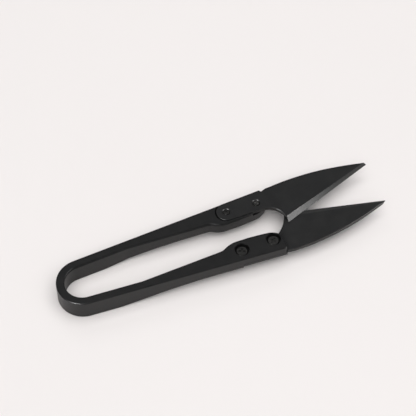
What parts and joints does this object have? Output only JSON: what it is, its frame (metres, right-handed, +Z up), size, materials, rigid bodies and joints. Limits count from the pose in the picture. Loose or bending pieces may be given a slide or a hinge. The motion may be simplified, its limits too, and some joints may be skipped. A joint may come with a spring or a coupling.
{
  "type": "thread snips",
  "caption": "Hand-held thread snips: a springy U-shaped bow handle with a leaf-shaped blade screwed to each arm, sprung open and squeezed to cut.",
  "frame": {"origin": "centre of the overall length and width, at the level of the table under the bow", "axes": "+X from the bow towards the blade tips, +Y towards the arm whose blade lies on top, +Z up out of the flat top of the handle"},
  "size_m": [0.105, 0.0236, 0.0072],
  "materials": {
    "handle": "satin black moulded nylon",
    "blade": "satin black coated steel with a ground bevel",
    "screw": "black oxide steel"
  },
  "bodies": {
    "bow": {"handle_bow": "handle"},
    "far_side": {"handle_arm_far": "handle", "blade_far": "blade", "screw_far_rear": "screw", "screw_far_front": "screw"},
    "near_side": {"handle_arm_near": "handle", "blade_near": "blade", "screw_near_rear": "screw", "screw_near_front": "screw"}
  },
  "joints": [
    {"name": "squeeze_far", "type": "hinge", "parent": "bow", "child": "far_side", "pos_m": [-0.036, 0.00724, 0.0036], "axis": [0, 0, -1], "range_deg": [0, 4.8], "stiffness_Nm_per_rad": 3, "deforming": ["handle_bow"]},
    {"name": "squeeze_near", "type": "hinge", "parent": "bow", "child": "near_side", "pos_m": [-0.036, -0.00724, 0.0036], "axis": [0, 0, 1], "range_deg": [0, 4.8], "stiffness_Nm_per_rad": 3, "deforming": ["handle_bow"]}
  ],
  "couplings": [
    {"joint": "squeeze_near", "follows": "squeeze_far", "ratio": 1}
  ]
}
